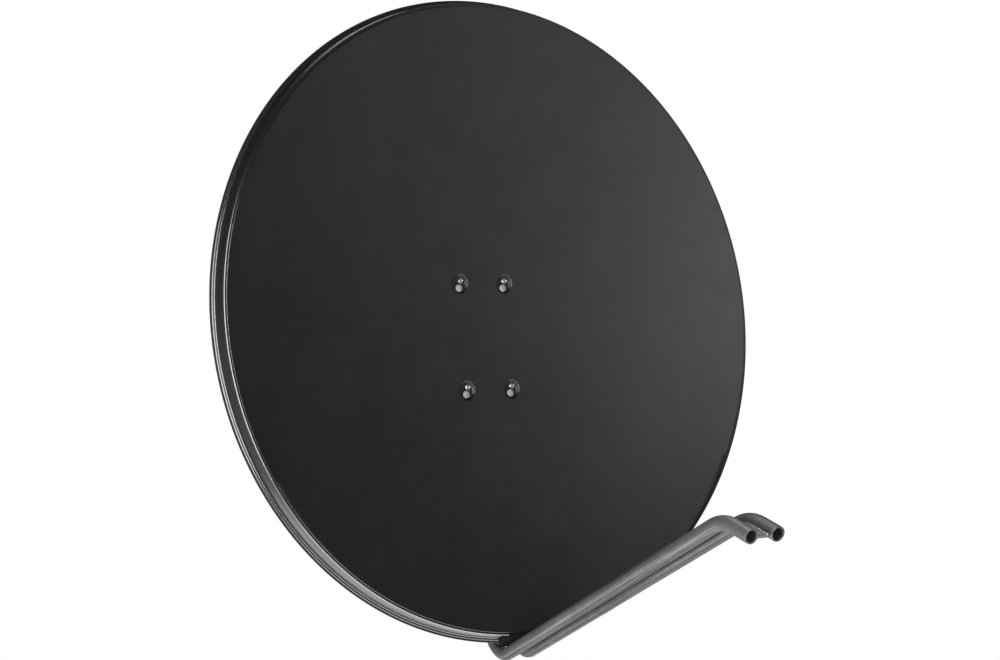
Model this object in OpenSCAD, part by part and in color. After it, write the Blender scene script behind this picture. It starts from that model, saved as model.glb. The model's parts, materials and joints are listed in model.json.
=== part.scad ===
// Offset satellite dish with a twin-tube feed arm and an adjustable mast mount.
//
// Two frames are used. The row frame has its origin on the mast axis at mid clamp, +Z up the
// mast, and the dish looks towards -Y. The dish frame has its origin at the centre of the
// rim plane: x across the dish, y up the rim plane, z out of the front of the dish.
// dish_frame() carries a shape from the dish frame to the row frame.

/* [Reflector] */
// Width over the rim flange
overall_w = 850; // [800:10:900]
// Focal length of the parent paraboloid
focal = 510; // [500:5:530]
// Sheet thickness of the bowl
sheet = 1.2; // [1:0.1:1.5]
// Depth of the rim skirt behind the lip
skirt_h = 23.4; // [20:0.2:25]
// How far the flange stands out from the skirt
flange_w = 6.4; // [5.5:0.1:7.5]

/* [Pockets] */
// Distance between the left and right fixing bolts
bolt_span_x = 72; // [70:1:74]
// Distance between the upper and lower fixing bolts
bolt_span_y = 154; // [140:1:170]
// Radius of each recessed pocket
pocket_r = 13.2; // [12.5:0.1:14]
// Depth of the pocket floor below the deepest point of the bowl
pocket_drop = 1.45; // [1:0.05:2]

/* [Feed arm] */
// Outside diameter of each feed tube
tube_od = 18; // [16:0.5:18]
// Wall thickness of each feed tube
tube_wall = 2; // [1.5:0.1:2.5]
// Distance between the two tube centres
tube_span = 36; // [34:0.5:36]
// Length of the arm between its lower corner and its elbow
arm_len = 604; // [560:1:640]
// Rise of the arm out of the dish axis, in degrees
arm_rise = 18.5; // [18:0.1:19.5]
// Length from the elbow to the open end
elbow_len = 51; // [45:1:70]
// Bend radius at the lower corner
corner_bend_r = 40; // [36:1:44]
// Bend radius at the elbow
elbow_bend_r = 60; // [45:1:70]

/* [Mount] */
// Elevation of the beam at rest, in degrees
elevation = 30.8; // [28:0.1:34]
// Diameter of the mast that the clamp is set on
mast_d = 60; // [56:1:60]
// Thickness of the bracket plates
plate_t = 3; // [2.5:0.5:3.5]
// Height of the mast bracket
mount_h = 144; // [140:2:160]
// Outside width of the mast bracket
mount_w = 114; // [112:1:116]
// Distance from the mast axis to the tilt pivot
pivot_reach = 66; // [64:1:72]
// Distance from the tilt pivot to the lock bolts
lock_r = 85; // [84:1:88]
// Lowest beam elevation that the slot allows, in degrees
elevation_min = 10; // [10:1:20]
// Highest beam elevation that the slot allows, in degrees
elevation_max = 50; // [40:1:50]

/* [Hidden] */

$fn = 96;
fine_fn = 180;     // large radii
hull_fn = 32;      // corners of plate outlines
eps = 0.01;

paint = [0.17, 0.18, 0.19];
galvanised = [0.60, 0.61, 0.62];
zinc = [0.74, 0.74, 0.72];
nylon = [0.86, 0.85, 0.80];

// Reflector outline: the lip is an ellipse, drawn as a four-centre oval
lip_r = 3;                                   // lip centre line to the top of the skirt
skirt_draft = 1.8;                           // widening of the skirt towards the flange
rim_out = lip_r + skirt_draft + flange_w;    // lip centre line to the flange edge
half_w = overall_w / 2 - rim_out;            // half width of the lip
offset_angle = atan(half_w / (2 * focal));   // rim plane to the paraboloid's own base plane
half_h = half_w / cos(offset_angle);         // half height of the lip
bowl_depth = half_w * half_w / (4 * focal) * cos(offset_angle);
deep_y = -half_w * half_w / (4 * focal) * sin(offset_angle);   // height of the deepest point
centre_shift = (half_h - half_w) / (2 - sqrt(2));
end_r = half_h - centre_shift;               // radius of the top and bottom arcs
side_r = half_w + centre_shift;              // radius of the left and right arcs
bowl_bands = 32;

// Rim section: distance outside the lip centre line, distance behind the rim plane
rim_t = 1.6;                                 // wall of the skirt
flange_t = 1.5;                              // wall of the flange
bead_h = 3;                                  // thickness of the rolled flange edge
lip_depth = 3.4;
flange_z = -skirt_h;
rim_section = [
    [-lip_r, -lip_depth], [-lip_r, -0.7], [-1.2, 0], [1, 0], [2.2, -0.8], [lip_r - 0.2, -2.2],
    [lip_r + skirt_draft - 0.2, flange_z + 1.4], [lip_r + skirt_draft + 0.6, flange_z],
    [rim_out - 1, flange_z], [rim_out, flange_z - 1], [rim_out, flange_z - bead_h + 1],
    [rim_out - 1, flange_z - bead_h], [rim_out - 2, flange_z - bead_h],
    [rim_out - 2.8, flange_z - flange_t], [lip_r + skirt_draft - rim_t, flange_z - flange_t],
    [lip_r + skirt_draft - 0.2 - rim_t, flange_z + 0.4], [lip_r - 0.2 - rim_t, -lip_depth]];

// Notch in the lower rim that lets the feed tubes past
notch_w = 72;
notch_trim = 3.2;                            // how much of the lip the notch takes
apron_gap = 0.6;                             // the apron's lower edge to the tubes
apron_lap = 8;                               // how far the apron reaches past the notch on each side

// Fixing pattern, and the stack of parts behind each pocket
bolts_y = deep_y;
pocket_offset = [3, 6];                      // bolt to pocket centre
rivet_offset = [4.6, 10.9];                  // bolt to rivet
pocket_z = -bowl_depth - pocket_drop;        // front face of the pocket floor
strip_t = 2;
strip_front = pocket_z - sheet;
strip_back = strip_front - strip_t;
strip_w = 24;
strip_centre = 40;
strip_below = 20;
strip_above = 27;
tube_r = tube_od / 2;
bore_r = tube_r - tube_wall;
tube_gap = 0.5;                              // tubes to the backs of the pockets
tube_z = strip_front - tube_gap - tube_r;    // tube centre line behind the dish
plate_front = tube_z - tube_r;               // arm plate against the back of the tubes
web_front = plate_front - plate_t;
web_back = web_front - plate_t;

// Fasteners: M6 through the dish, M8 in the clamp and the slots, M10 pivot
m6 = 6;
m8 = 8;
m10 = 10;
hole_gap = 0.25;                             // radial clearance of a bolt hole
running_gap = 0.05;                          // radial clearance of a turning fit
m6_af = 10;
m8_af = 13;
m10_af = 17;
m6_nut_h = 5;
m8_nut_h = 6.5;
m10_nut_h = 8;
washer_t = 1.6;
m6_washer_od = 12.5;
m8_washer_od = 16;
lock_washer_od = 20;
pivot_washer_od = 20;
friction_washer_od = 28;
spacer_od = 14;
sleeve_od = 16;
pivot_washer_t = 2;
thread_out = 3;                              // thread that stands out of a nut
face_gap = 0.05;                             // gap under a washer that parts slide on

// Feed arm path in the (y, z) plane of the dish frame
tube_above = 12;                             // how far the tubes run above the upper bolts
corner_drop = 43.4;                          // lowest point of the lip to the arm's lower corner
arm_top_y = bolts_y + bolt_span_y / 2 + tube_above;
arm_corner_y = -half_h - corner_drop;
arm_heading = 90 - arm_rise;
end_heading = 90 + offset_angle;
corner_turn = arm_heading - 180;
elbow_turn = end_heading - arm_heading;
corner_tangent = corner_bend_r * tan(-corner_turn / 2);
elbow_tangent = elbow_bend_r * tan(elbow_turn / 2);
rear_run = arm_top_y - arm_corner_y - corner_tangent;
arm_run = arm_len - corner_tangent - elbow_tangent;
end_run = elbow_len - elbow_tangent;
bend_lap = 1;                                // how far a straight run reaches into a bend
bend_swell = 0.25;                           // growth of the tube's radius in a bend
elbow_y = arm_corner_y + arm_len * cos(arm_heading);
elbow_z = tube_z + arm_len * sin(arm_heading);
end_y = elbow_y + elbow_len * cos(end_heading);
end_z = elbow_z + elbow_len * sin(end_heading);

// Mount geometry in the row frame
lean = elevation - offset_angle;             // how far the rim plane leans back
mast_r = mast_d / 2;
clamp_gap = 8;                               // mast to the clamp plates on either side
web_y = -mast_r - clamp_gap;                 // back face of the mast bracket's web
pivot_drop = 40;                             // pivot below mid clamp
pivot_pos = [0, -pivot_reach, -pivot_drop];
pivot_below = 50;                            // pivot below the middle of the fixing bolts
pivot_behind = 60;                           // and behind the tilt bracket's web
pivot_in_dish = [0, bolts_y - pivot_below, web_back - pivot_behind];
friction_t = 1;
cheek_in = mount_w / 2 + friction_t;         // inside of the tilt bracket's cheeks
cheek_out = cheek_in + plate_t;
tilt_web_h = 190;
clamp_x = 43;                                // clamp bolts left and right of the mast
clamp_z = 42;                                // and above and below mid clamp
jaw_h = 40;
jaw_w = 104;
lip_w = 92;
lip_reach = 10;                              // how near a clamp lip comes to the mast axis plane
jaw_y = mast_r + clamp_gap;                  // front face of a jaw's plate
clamp_bolt_len = 100;
tooth_pitch = 16;                            // degrees between the grooves of the toothed seats
tooth_w = 2;
tooth_depth = 1.4;

// ---- Frames ----

module dish_frame() {
    translate(pivot_pos)
    rotate([90 - lean, 0, 0])
    translate(-pivot_in_dish)
    children();
}

// Lifts a flat outline to a plate: outline x to y, outline y to z, thickness towards +X
module side_plate(x, t) {
    translate([x, 0, 0])
    rotate([90, 0, 90])
    linear_extrude(t)
    children();
}

module mirrored() {
    children();
    mirror([1, 0, 0]) children();
}

module at_bolts(offset_xy = [0, 0]) {
    for (sx = [-1, 1], sy = [-1, 1])
        translate([sx * bolt_span_x / 2 + offset_xy[0], bolts_y + sy * bolt_span_y / 2 + offset_xy[1], 0])
        children();
}

// ---- Fasteners, each along +z from its seat at z = 0 ----

module washer(id, od, t) {
    difference() {
        cylinder(d = od, h = t);
        translate([0, 0, -1]) cylinder(d = id, h = t + 2);
    }
}

module hex_nut(bore, af, h) {
    difference() {
        cylinder(d = af / cos(30), h = h, $fn = 6);
        translate([0, 0, -1]) cylinder(d = bore, h = h + 2);
    }
}

// Dome-headed bolt with its head below z = 0 and its shank along +z
module dome_bolt(d, head_d, head_h, length, neck = 0) {
    dome_r = (head_d * head_d / 4 + head_h * head_h) / (2 * head_h);
    intersection() {
        translate([0, 0, dome_r - head_h]) sphere(r = dome_r);
        translate([0, 0, -head_h - 1]) cylinder(d = head_d, h = head_h + 1);
    }
    cylinder(d = d, h = length);
    if (neck > 0)
        translate([-d / 2, -d / 2, 0]) cube([d, d, neck]);
}

// ---- Reflector ----

// Paraboloid of revolution, thickness t behind its face, cut by a round tube along the beam.
// Its edge ends inside the lip of the rim.
module bowl_shell(t) {
    rim_radius = 2 * half_w;
    edge_inset = 1.5;
    translate([0, -half_h, 0])
    rotate([-offset_angle, 0, 0])
    intersection() {
        translate([0, half_w, -t * 2]) cylinder(r = half_w - edge_inset, h = 600, $fn = fine_fn);
        rotate_extrude($fn = fine_fn)
        polygon(concat(
            [for (i = [0 : bowl_bands]) let(r = rim_radius * i / bowl_bands) [r, r * r / (4 * focal)]],
            [for (i = [bowl_bands : -1 : 0]) let(r = rim_radius * i / bowl_bands)
                [r, r * r / (4 * focal) - t]]));
    }
}

module rim_arc(centre, r, from) {
    translate([centre[0], centre[1], 0])
    rotate([0, 0, from])
    rotate_extrude(angle = 90, $fn = fine_fn)
    translate([r, 0])
    polygon(rim_section);
}

module rim() {
    rim_arc([0, centre_shift], end_r, 45);
    rim_arc([centre_shift, 0], side_r, 135);
    rim_arc([0, -centre_shift], end_r, 225);
    rim_arc([-centre_shift, 0], side_r, 315);
}

// Closes the notch above the tubes: the sheet folds over at the bowl's cut edge, then runs down
// and back to the inside of the tubes' lower bends.
module notch_apron() {
    edge = [-half_h + notch_trim, -notch_trim * tan(offset_angle)];
    toe = [arm_corner_y + corner_tangent - corner_bend_r + tube_r + apron_gap, tube_z + corner_bend_r];
    root = edge + [1.4, -1.4 * tan(offset_angle) - 0.45];
    crown = edge + [-0.2, -0.3];
    brow = edge + [-3, -1.3];
    back = [1.12, -0.44] * sheet / 1.2;          // through the sheet, square to the apron
    side_plate(-notch_w / 2 - apron_lap, notch_w + 2 * apron_lap)
        polygon([root, crown, brow, toe, toe + back, brow + back, root + [0, -sheet - 0.25]]);
}

module reflector() {
    cup_deep = 12;
    below = 40;                                  // how far the notch's cutter reaches below the lip
    color(paint)
    dish_frame() {
        difference() {
            union() {
                bowl_shell(sheet);
                rim();
                intersection() {
                    bowl_shell(cup_deep);
                    at_bolts(pocket_offset)
                        translate([0, 0, strip_front]) cylinder(r = pocket_r + sheet, h = cup_deep * 2);
                }
            }
            at_bolts(pocket_offset) translate([0, 0, pocket_z]) cylinder(r = pocket_r, h = cup_deep * 2);
            at_bolts() translate([0, 0, strip_front - 1]) cylinder(d = m6 + 2 * hole_gap, h = sheet + 2);
            at_bolts(rivet_offset) translate([0, 0, strip_front - 1]) cylinder(d = rivet_d, h = sheet + 2);
            translate([-notch_w / 2, -half_h - below, flange_z - 10])
                cube([notch_w, below + notch_trim, skirt_h + 20]);
        }
        notch_apron();
    }
}

module backing_strips() {
    low = bolts_y - bolt_span_y / 2 - strip_below;
    high = bolts_y + bolt_span_y / 2 + strip_above;
    color(galvanised)
    dish_frame()
    difference() {
        for (side = [-1, 1])
            translate([side * strip_centre - strip_w / 2, low, strip_back])
                cube([strip_w, high - low, strip_t]);
        at_bolts() translate([0, 0, strip_back - 1]) cylinder(d = m6 + 2 * hole_gap, h = strip_t + 2);
        at_bolts(rivet_offset) translate([0, 0, strip_back - 1]) cylinder(d = rivet_d, h = strip_t + 2);
    }
}

// Blind rivets: a domed flange in the pocket, a hollow shank and a bulb behind the strip
rivet_d = 4.8;
rivet_head_d = 8.8;
rivet_head_h = 1.3;
rivet_bulb_d = 6.4;
rivet_bulb_h = 3;

module pocket_rivets() {
    grip = sheet + strip_t;
    color(zinc)
    dish_frame()
    at_bolts(rivet_offset)
    translate([0, 0, pocket_z])
    difference() {
        union() {
            cylinder(d1 = rivet_head_d, d2 = rivet_head_d - 1.6, h = rivet_head_h);
            translate([0, 0, -grip - rivet_bulb_h]) cylinder(d = rivet_d, h = grip + rivet_bulb_h);
            translate([0, 0, -grip - rivet_bulb_h]) cylinder(d = rivet_bulb_d, h = rivet_bulb_h);
        }
        translate([0, 0, -0.8]) cylinder(d = 2.8, h = rivet_head_h + 2);
    }
}

// ---- Fixings through the dish ----

dish_bolt_head_d = 10.6;
dish_bolt_head_h = 3.2;
dish_stack_back = web_back - washer_t;

module dish_bolts() {
    color(zinc)
    dish_frame()
    at_bolts()
    translate([0, 0, pocket_z])
    rotate([180, 0, 0])
    dome_bolt(m6, dish_bolt_head_d, dish_bolt_head_h,
        pocket_z - dish_stack_back + m6_nut_h + thread_out);
}

module spacer_tubes() {
    color(zinc)
    dish_frame()
    at_bolts()
    translate([0, 0, plate_front])
    washer(m6 + 0.6, spacer_od, strip_back - plate_front);
}

module dish_washers() {
    color(zinc)
    dish_frame()
    at_bolts()
    translate([0, 0, dish_stack_back])
    washer(m6 + 0.4, m6_washer_od, washer_t);
}

module dish_nuts() {
    color(zinc)
    dish_frame()
    at_bolts()
    translate([0, 0, dish_stack_back - m6_nut_h])
    hex_nut(m6 + 2 * running_gap, m6_af, m6_nut_h);
}

// ---- Feed arm ----

// A straight run along the heading, then whatever follows it. The run reaches a little way
// into the bends at its ends.
module run(r, length, before = bend_lap, after = bend_lap) {
    translate([-before, 0, 0]) rotate([0, 90, 0]) cylinder(r = r, h = length + before + after);
    translate([length, 0, 0]) children();
}

// A bend in the heading plane, positive to the left, then whatever follows it
module bend(r, bend_r, angle) {
    side = sign(angle);
    translate([0, side * bend_r, 0])
    rotate([0, 0, side > 0 ? -90 : 90 + angle])
    rotate_extrude(angle = abs(angle), $fn = fine_fn)
    translate([bend_r, 0])
    circle(r = r + bend_swell, $fn = 96);
    translate([bend_r * sin(abs(angle)), side * bend_r * (1 - cos(angle)), 0])
    rotate([0, 0, angle])
    children();
}

module tube_path(r, overrun) {
    translate([arm_top_y, tube_z, 0])
    rotate([0, 0, 180])
    run(r, rear_run, before = overrun)
    bend(r, corner_bend_r, corner_turn)
    run(r, arm_run)
    bend(r, elbow_bend_r, elbow_turn)
    run(r, end_run, after = overrun);
}

module feed_tube(x) {
    color(galvanised)
    dish_frame()
    translate([x, 0, 0])
    rotate([90, 0, 90])
    difference() {
        tube_path(tube_r, 0);
        tube_path(bore_r, 1);
    }
}

module feed_tube_left() {
    feed_tube(-tube_span / 2);
}

module feed_tube_right() {
    feed_tube(tube_span / 2);
}

// Small plate welded between the tubes just behind their open ends
module arm_tie_plate() {
    drop = 4;
    tie_t = 2.4;
    tie_len = 20;
    tie_back = 5;
    half_gap = tube_span / 2 - sqrt(tube_r * tube_r - (drop - tie_t / 2) * (drop - tie_t / 2)) - eps;
    color(galvanised)
    dish_frame()
    translate([0, end_y, end_z])
    rotate([offset_angle, 0, 0])
    translate([-half_gap, -drop - tie_t / 2, -tie_back - tie_len])
    cube([2 * half_gap, tie_t, tie_len]);
}

// Plate welded across the backs of the tubes
module arm_plate() {
    plate_w = 96;
    plate_h = 184;
    corner = 10;
    color(galvanised)
    dish_frame()
    difference() {
        translate([0, bolts_y, web_front])
            linear_extrude(plate_t)
            chamfered_rectangle(plate_w, plate_h, corner);
        at_bolts() translate([0, 0, web_front - 1]) cylinder(d = m6 + 2 * hole_gap, h = plate_t + 2);
    }
}

module chamfered_rectangle(w, h, c) {
    polygon([
        [-w / 2 + c, -h / 2], [w / 2 - c, -h / 2], [w / 2, -h / 2 + c], [w / 2, h / 2 - c],
        [w / 2 - c, h / 2], [-w / 2 + c, h / 2], [-w / 2, h / 2 - c], [-w / 2, -h / 2 + c]]);
}

// ---- Tilt bracket: bolted to the arm plate, turns on the pivot ----

slot_w = m8 + 0.6;
slot_low = elevation_min - offset_angle;     // slot ends, as angles from +y towards +z about the pivot
slot_high = elevation_max - offset_angle;
pivot_boss_r = 16;
slot_boss_r = 13;

module tilt_cheek_outline() {
    py = pivot_in_dish[1];
    pz = pivot_in_dish[2];
    root_h = 170;
    hull() {
        translate([bolts_y - root_h / 2, web_back]) square([root_h, plate_t]);
        translate([py, pz]) circle(r = pivot_boss_r, $fn = hull_fn);
        for (a = [slot_low, (slot_low + slot_high) / 2])
            translate([py + lock_r * cos(a), pz + lock_r * sin(a)]) circle(r = slot_boss_r, $fn = hull_fn);
    }
}

// One degree mark every five degrees beside the slot, longer every ten
module scale_marks() {
    mark_w = 0.9;
    mark_depth = 0.4;
    for (e = [elevation_min : 5 : elevation_max])
        translate([cheek_out - mark_depth, pivot_in_dish[1], pivot_in_dish[2]])
        rotate([e - offset_angle, 0, 0])
        translate([0, lock_r + 6, -mark_w / 2])
        cube([1, e % 10 == 0 ? 6 : 4, mark_w]);
}

// Arc slot about the pivot, with round ends
module tilt_slot() {
    arc_steps = 24;
    end_steps = 8;
    slot_r = slot_w / 2;
    function on_arc(r, a) = [r * cos(a), r * sin(a)];
    function end_round(a, from) =
        [for (i = [1 : end_steps - 1]) on_arc(lock_r, a) + on_arc(slot_r, from + 180 * i / end_steps)];
    span = slot_high - slot_low;
    translate([pivot_in_dish[1], pivot_in_dish[2]])
    polygon(concat(
        [for (i = [0 : arc_steps]) on_arc(lock_r + slot_r, slot_low + span * i / arc_steps)],
        end_round(slot_high, slot_high),
        [for (i = [arc_steps : -1 : 0]) on_arc(lock_r - slot_r, slot_low + span * i / arc_steps)],
        end_round(slot_low, slot_low + 180)));
}

module tilt_cheek() {
    difference() {
        side_plate(cheek_in, plate_t)
            difference() {
                tilt_cheek_outline();
                tilt_slot();
            }
        translate([cheek_in - 1, pivot_in_dish[1], pivot_in_dish[2]])
            rotate([0, 90, 0])
            cylinder(d = m10 + 4 * running_gap, h = plate_t + 2);
        scale_marks();
    }
}

module tilt_bracket() {
    window_w = 60;
    window_h = 84;
    window_corner = 14;
    web_corner = 10;
    color(galvanised)
    dish_frame() {
        difference() {
            translate([0, bolts_y, web_back])
                linear_extrude(plate_t)
                difference() {
                    chamfered_rectangle(2 * cheek_out, tilt_web_h, web_corner);
                    chamfered_rectangle(window_w, window_h, window_corner);
                }
            at_bolts() translate([0, 0, web_back - 1]) cylinder(d = m6 + 2 * hole_gap, h = plate_t + 2);
        }
        mirrored() tilt_cheek();
    }
}

// ---- Mast bracket: fixed to the mast ----

lock_pos = pivot_pos + [0, 0, lock_r];
square_hole = m8 + 0.4;                      // square holes hold the necks of the dome-head bolts

module mast_cheek_outline() {
    hull() {
        translate([web_y - plate_t, -mount_h / 2]) square([plate_t, mount_h]);
        translate([pivot_pos[1], pivot_pos[2]]) circle(r = pivot_boss_r, $fn = hull_fn);
        translate([lock_pos[1], lock_pos[2]]) circle(r = slot_boss_r, $fn = hull_fn);
    }
}

// Lip of a clamp plate, z from 0 to plate_t, seated on the mast by a toothed arc.
// back is the face of the clamp plate it grows from, on the -Y side.
module clamp_lip(back) {
    shoulder = back + 12;
    front_w = lip_w - 16;
    difference() {
        linear_extrude(plate_t)
            polygon([
                [-lip_w / 2, back], [lip_w / 2, back], [lip_w / 2, shoulder],
                [front_w / 2, -lip_reach], [-front_w / 2, -lip_reach], [-lip_w / 2, shoulder]]);
        translate([0, 0, -1]) cylinder(r = mast_r, h = plate_t + 2);
        for (k = [-4 : 4])
            rotate([0, 0, k * tooth_pitch])
            translate([-tooth_w / 2, -mast_r - tooth_depth, -1])
            cube([tooth_w, 4, plate_t + 2]);
    }
}

module mast_bracket() {
    cheek_x = mount_w / 2 - plate_t;
    window_w = 40;
    window_h = 90;
    window_corner = 10;
    color(galvanised) {
        difference() {
            translate([-mount_w / 2, web_y - plate_t, -mount_h / 2]) cube([mount_w, plate_t, mount_h]);
            for (sx = [-1, 1], sz = [-1, 1])
                translate([sx * clamp_x - square_hole / 2, web_y - plate_t - 1, sz * clamp_z - square_hole / 2])
                cube([square_hole, plate_t + 2, square_hole]);
            translate([0, web_y + 1, 0])
                rotate([90, 0, 0])
                linear_extrude(plate_t + 2)
                chamfered_rectangle(window_w, window_h, window_corner);
        }
        mirrored()
            difference() {
                side_plate(cheek_x, plate_t) mast_cheek_outline();
                translate([cheek_x - 1, pivot_pos[1], pivot_pos[2]])
                    rotate([0, 90, 0])
                    cylinder(d = m10 + 2 * running_gap, h = plate_t + 2);
                translate([cheek_x - 1, lock_pos[1] - square_hole / 2, lock_pos[2] - square_hole / 2])
                    cube([plate_t + 2, square_hole, square_hole]);
            }
        translate([0, 0, mount_h / 2 - plate_t]) clamp_lip(web_y - eps);
        translate([0, 0, -mount_h / 2]) clamp_lip(web_y - eps);
    }
}

module pivot_sleeve() {
    length = mount_w - 2 * plate_t - 2 * eps;
    color(zinc)
    translate([-length / 2, pivot_pos[1], pivot_pos[2]])
    rotate([0, 90, 0])
    washer(m10 + 0.6, sleeve_od, length);
}

module pivot_bolt() {
    head_h = 6.4;
    head_x = -cheek_out - face_gap - pivot_washer_t;
    shank = -2 * head_x + m10_nut_h + 4;
    color(zinc)
    translate([head_x, pivot_pos[1], pivot_pos[2]])
    rotate([0, 90, 0]) {
        translate([0, 0, -head_h]) cylinder(d = m10_af / cos(30), h = head_h, $fn = 6);
        cylinder(d = m10, h = shank);
    }
}

module friction_washers() {
    color(nylon)
    mirrored()
    translate([mount_w / 2 + face_gap / 2, pivot_pos[1], pivot_pos[2]])
    rotate([0, 90, 0])
    washer(m10 + 0.4, friction_washer_od, friction_t - face_gap);
}

module pivot_washers() {
    color(zinc)
    mirrored()
    translate([cheek_out + face_gap, pivot_pos[1], pivot_pos[2]])
    rotate([0, 90, 0])
    washer(m10 + 0.5, pivot_washer_od, pivot_washer_t - eps);
}

module pivot_nut() {
    color(zinc)
    translate([cheek_out + face_gap + pivot_washer_t, pivot_pos[1], pivot_pos[2]])
    rotate([0, 90, 0])
    hex_nut(m10 + 2 * running_gap, m10_af, m10_nut_h);
}

m8_head_d = 17;
m8_head_h = 4.4;

module lock_bolts() {
    seat = mount_w / 2 - plate_t;
    color(zinc)
    mirrored()
    translate([seat, lock_pos[1], lock_pos[2]])
    rotate([0, 90, 0])
    dome_bolt(m8, m8_head_d, m8_head_h,
        cheek_out - seat + face_gap + washer_t + m8_nut_h + thread_out, plate_t);
}

module lock_washers() {
    color(zinc)
    mirrored()
    translate([cheek_out + face_gap, lock_pos[1], lock_pos[2]])
    rotate([0, 90, 0])
    washer(m8 + 0.4, lock_washer_od, washer_t);
}

module lock_nuts() {
    color(zinc)
    mirrored()
    translate([cheek_out + face_gap + washer_t + eps, lock_pos[1], lock_pos[2]])
    rotate([0, 90, 0])
    hex_nut(m8 + 2 * running_gap, m8_af, m8_nut_h);
}

module clamp_bolts() {
    color(zinc)
    for (sx = [-1, 1], sz = [-1, 1])
        translate([sx * clamp_x, web_y - plate_t, sz * clamp_z])
        rotate([-90, 0, 0])
        dome_bolt(m8, m8_head_d, m8_head_h, clamp_bolt_len, plate_t);
}

// ---- Jaws: slide on the clamp bolts and press the mast against the bracket ----

module jaw(z) {
    color(galvanised)
    translate([0, 0, z]) {
        difference() {
            translate([-jaw_w / 2, jaw_y, -jaw_h / 2]) cube([jaw_w, plate_t, jaw_h]);
            for (sx = [-1, 1])
                translate([sx * clamp_x, jaw_y - 1, 0])
                rotate([-90, 0, 0])
                cylinder(d = m8 + 2 * hole_gap, h = plate_t + 2);
        }
        for (low = [-jaw_h / 2, jaw_h / 2 - plate_t])
            translate([0, 0, low])
            rotate([0, 0, 180])
            clamp_lip(-jaw_y - eps);
    }
}

module jaw_washers(z) {
    color(zinc)
    for (sx = [-1, 1])
        translate([sx * clamp_x, jaw_y + plate_t, z])
        rotate([-90, 0, 0])
        washer(m8 + 0.4, m8_washer_od, washer_t);
}

module clamp_nut(x, z) {
    color(zinc)
    translate([x, jaw_y + plate_t + washer_t + eps, z])
    rotate([-90, 0, 0])
    hex_nut(m8 + 2 * running_gap, m8_af, m8_nut_h);
}

module upper_jaw() jaw(clamp_z);
module lower_jaw() jaw(-clamp_z);
module upper_jaw_washers() jaw_washers(clamp_z);
module lower_jaw_washers() jaw_washers(-clamp_z);
module upper_nut_left() clamp_nut(-clamp_x, clamp_z);
module upper_nut_right() clamp_nut(clamp_x, clamp_z);
module lower_nut_left() clamp_nut(-clamp_x, -clamp_z);
module lower_nut_right() clamp_nut(clamp_x, -clamp_z);

reflector();
backing_strips();
pocket_rivets();
dish_bolts();
spacer_tubes();
feed_tube_left();
feed_tube_right();
arm_tie_plate();
arm_plate();
tilt_bracket();
dish_washers();
dish_nuts();
mast_bracket();
pivot_sleeve();
pivot_bolt();
friction_washers();
pivot_washers();
pivot_nut();
lock_bolts();
lock_washers();
lock_nuts();
clamp_bolts();
upper_jaw();
upper_jaw_washers();
upper_nut_left();
upper_nut_right();
lower_jaw();
lower_jaw_washers();
lower_nut_left();
lower_nut_right();
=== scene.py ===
"""Looks of the satellite dish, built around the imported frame. Metres, +Z up, the dish looks towards -Y.

The dish frame used by several builders has its origin at the centre of the rim plane:
x across the dish, y up the rim plane, z out of the front. TO_ROW carries it to the row frame.
"""
import json
import math

import bmesh
import bpy
import numpy as np
from mathutils import Matrix, Vector


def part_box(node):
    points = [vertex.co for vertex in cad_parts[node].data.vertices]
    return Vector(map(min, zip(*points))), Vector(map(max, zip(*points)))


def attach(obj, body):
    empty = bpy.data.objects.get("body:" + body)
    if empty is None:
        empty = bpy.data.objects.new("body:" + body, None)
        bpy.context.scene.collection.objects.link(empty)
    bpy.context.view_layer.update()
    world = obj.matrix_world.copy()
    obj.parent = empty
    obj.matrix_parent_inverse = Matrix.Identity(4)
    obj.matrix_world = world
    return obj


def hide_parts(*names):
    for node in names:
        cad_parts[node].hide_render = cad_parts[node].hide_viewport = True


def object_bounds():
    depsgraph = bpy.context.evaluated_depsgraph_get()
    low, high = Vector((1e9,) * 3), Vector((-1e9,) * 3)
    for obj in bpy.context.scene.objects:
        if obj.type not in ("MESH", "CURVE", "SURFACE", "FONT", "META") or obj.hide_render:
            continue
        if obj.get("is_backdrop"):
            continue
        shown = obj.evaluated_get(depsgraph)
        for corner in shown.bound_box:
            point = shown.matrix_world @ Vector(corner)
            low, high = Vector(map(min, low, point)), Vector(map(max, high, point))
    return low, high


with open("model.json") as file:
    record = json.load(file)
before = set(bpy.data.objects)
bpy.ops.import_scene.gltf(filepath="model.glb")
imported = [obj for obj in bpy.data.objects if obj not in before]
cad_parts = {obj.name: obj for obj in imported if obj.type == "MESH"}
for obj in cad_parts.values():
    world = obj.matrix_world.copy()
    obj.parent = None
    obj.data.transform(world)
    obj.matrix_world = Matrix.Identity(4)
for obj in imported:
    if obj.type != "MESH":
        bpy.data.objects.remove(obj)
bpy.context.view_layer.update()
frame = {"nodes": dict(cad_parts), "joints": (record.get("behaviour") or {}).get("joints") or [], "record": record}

MM = 0.001

# ---- Driving dimensions, as the frame has them unless noted ----

RIM_OUT = 11.2 * MM          # lip centre line to the edge of the flange
FOCAL = 510 * MM             # focal length of the paraboloid
SHEET = 1.2 * MM
HALF_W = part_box("reflector")[1].x - RIM_OUT
OFFSET = math.atan(HALF_W / (2 * FOCAL))
HALF_H = HALF_W / math.cos(OFFSET)
BOWL_DEPTH = HALF_W ** 2 / (4 * FOCAL) * math.cos(OFFSET)
DEEP_Y = -HALF_W ** 2 / (4 * FOCAL) * math.sin(OFFSET)

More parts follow.
